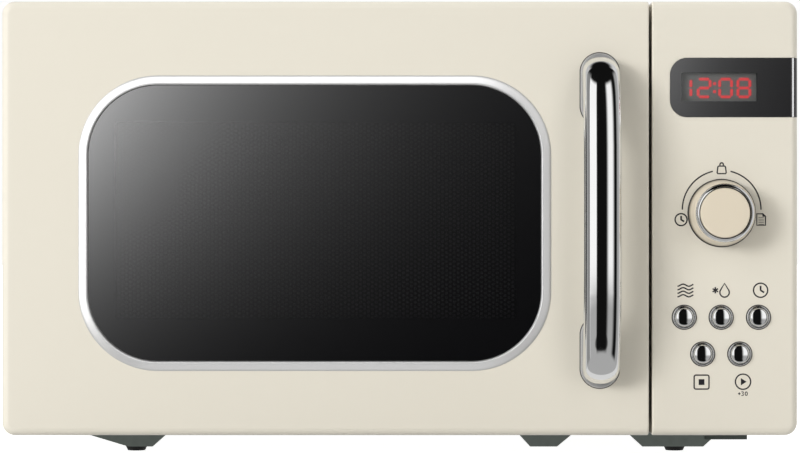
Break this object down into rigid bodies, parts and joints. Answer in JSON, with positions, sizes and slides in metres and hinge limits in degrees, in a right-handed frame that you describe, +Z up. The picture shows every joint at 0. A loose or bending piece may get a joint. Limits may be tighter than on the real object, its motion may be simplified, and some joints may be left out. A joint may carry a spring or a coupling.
{
  "type": "microwave oven",
  "caption": "Cream countertop microwave oven with a left-hinged door, rounded window with silver trim, chrome bow handle, display, knob and round push buttons.",
  "frame": {"origin": "on the standing surface, below the middle of the overall box", "axes": "+X to the control panel's side, +Y to the back, +Z up; the door and panel face -Y"},
  "size_m": [0.44, 0.372, 0.254],
  "materials": {
    "cream_steel": "smooth semi-gloss cream paint",
    "cream_plastic": "smooth glossy cream moulding",
    "zinc_steel": "zinc-plated sheet",
    "rubber": "matt black rubber",
    "screw_steel": "plated steel",
    "black_plastic": "matt black moulding",
    "enamel": "light grey enamel",
    "mica": "mottled grey-brown mica sheet",
    "aluminium": "plain aluminium",
    "iron": "varnished iron laminations",
    "copper": "varnished copper wire",
    "dark_parts": "matt black",
    "lamp_glass": "clear bulb",
    "board": "green circuit board",
    "black_gloss": "glossy black window",
    "chrome": "bright chrome plate",
    "silver": "silver-plated ring",
    "tinted_glass": "dark tinted glass",
    "clear_glass": "clear glass",
    "black_steel": "black enamelled perforated sheet",
    "film": "clear film"
  },
  "bodies": {
    "chassis": {"base_plate": "zinc_steel", "rubber_feet": "rubber", "outer_cover": "cream_steel", "cover_screws": "screw_steel", "rear_panel": "zinc_steel", "cord_inlet": "black_plastic", "front_frame": "enamel", "cavity_wrap": "enamel", "cavity_floor": "enamel", "cavity_ceiling": "enamel", "waveguide": "zinc_steel", "waveguide_cover": "mica", "magnetron": "aluminium", "thermal_cutout": "aluminium", "transformer_core": "iron", "transformer_windings": "copper", "capacitor": "aluminium", "hv_diode": "dark_parts", "fan_shroud": "black_plastic", "fan_motor": "aluminium", "oven_lamp": "lamp_glass", "latch_board": "black_plastic", "interlock_switches": "black_plastic", "filter_board": "board", "turntable_motor": "aluminium", "control_panel": "cream_plastic", "display_lens": "black_gloss", "control_board": "board", "led_display": "dark_parts", "encoder": "aluminium", "tact_switches": "dark_parts", "button_bezels": "chrome", "hinge_brackets": "zinc_steel"},
    "door": {"door_frame": "cream_plastic", "window_trim": "silver", "window_glass": "tinted_glass", "door_panel": "black_steel", "choke_cover": "black_plastic", "door_film": "film", "handle": "chrome", "handle_bases": "chrome", "handle_screws": "screw_steel", "hinge_pins": "screw_steel", "latch_spring": "screw_steel"},
    "latch": {"latch_hook": "black_plastic"},
    "knob": {"knob_body": "cream_plastic", "knob_ring": "chrome", "encoder_shaft": "screw_steel"},
    "button_defrost": {"button_defrost": "chrome"},
    "button_weight": {"button_weight": "chrome"},
    "button_clock": {"button_clock": "chrome"},
    "button_stop": {"button_stop": "chrome"},
    "button_start": {"button_start": "chrome"},
    "turntable": {"turntable_coupler": "black_plastic"},
    "tray": {"glass_tray": "clear_glass"},
    "ring": {"roller_ring": "black_plastic"},
    "roller_1": {"roller_1": "black_plastic"},
    "roller_2": {"roller_2": "black_plastic"},
    "roller_3": {"roller_3": "black_plastic"},
    "fan": {"fan_blade": "black_plastic"}
  },
  "joints": [
    {"name": "door_hinge", "type": "hinge", "parent": "chassis", "child": "door", "pos_m": [-0.214, -0.136, 0.134], "axis": [0, 0, -1], "range_deg": [0, 100]},
    {"name": "latch_lift", "type": "slide", "parent": "door", "child": "latch", "axis": [0, 0, 1], "range_m": [0, 0.004], "stiffness_N_per_m": 300, "springref_m": -0.003},
    {"name": "knob_turn", "type": "hinge", "parent": "chassis", "child": "knob", "pos_m": [0.1778, -0.16, 0.1369], "axis": [0, -1, 0], "continuous": true},
    {"name": "button_defrost_press", "type": "slide", "parent": "chassis", "child": "button_defrost", "axis": [0, 1, 0], "range_m": [0, 0.0012], "stiffness_N_per_m": 800, "springref_m": -0.0005},
    {"name": "button_weight_press", "type": "slide", "parent": "chassis", "child": "button_weight", "axis": [0, 1, 0], "range_m": [0, 0.0012], "stiffness_N_per_m": 800, "springref_m": -0.0005},
    {"name": "button_clock_press", "type": "slide", "parent": "chassis", "child": "button_clock", "axis": [0, 1, 0], "range_m": [0, 0.0012], "stiffness_N_per_m": 800, "springref_m": -0.0005},
    {"name": "button_stop_press", "type": "slide", "parent": "chassis", "child": "button_stop", "axis": [0, 1, 0], "range_m": [0, 0.0012], "stiffness_N_per_m": 800, "springref_m": -0.0005},
    {"name": "button_start_press", "type": "slide", "parent": "chassis", "child": "button_start", "axis": [0, 1, 0], "range_m": [0, 0.0012], "stiffness_N_per_m": 800, "springref_m": -0.0005},
    {"name": "turntable_spin", "type": "hinge", "parent": "chassis", "child": "turntable", "pos_m": [-0.044, 0.026, 0.0418], "axis": [0, 0, 1], "continuous": true},
    {"name": "tray_lift", "type": "slide", "parent": "turntable", "child": "tray", "axis": [0, 0, 1], "range_m": [0, 0.02]},
    {"name": "ring_spin", "type": "hinge", "parent": "chassis", "child": "ring", "pos_m": [-0.044, 0.026, 0.0418], "axis": [0, 0, 1], "continuous": true},
    {"name": "roller_1_spin", "type": "hinge", "parent": "ring", "child": "roller_1", "pos_m": [0.0426, 0.076, 0.0418], "axis": [-0.866, -0.5, 0], "continuous": true},
    {"name": "roller_2_spin", "type": "hinge", "parent": "ring", "child": "roller_2", "pos_m": [-0.1306, 0.076, 0.0418], "axis": [0.866, -0.5, 0], "continuous": true},
    {"name": "roller_3_spin", "type": "hinge", "parent": "ring", "child": "roller_3", "pos_m": [-0.044, -0.074, 0.0418], "axis": [0, 1, 0], "continuous": true},
    {"name": "fan_spin", "type": "hinge", "parent": "chassis", "child": "fan", "pos_m": [0.165, 0.16, 0.15], "axis": [0, 1, 0], "continuous": true}
  ],
  "couplings": [
    {"joint": "ring_spin", "follows": "turntable_spin", "ratio": 0.5},
    {"joint": "roller_1_spin", "follows": "turntable_spin", "ratio": 6.6667},
    {"joint": "roller_2_spin", "follows": "turntable_spin", "ratio": 6.6667},
    {"joint": "roller_3_spin", "follows": "turntable_spin", "ratio": 6.6667}
  ]
}
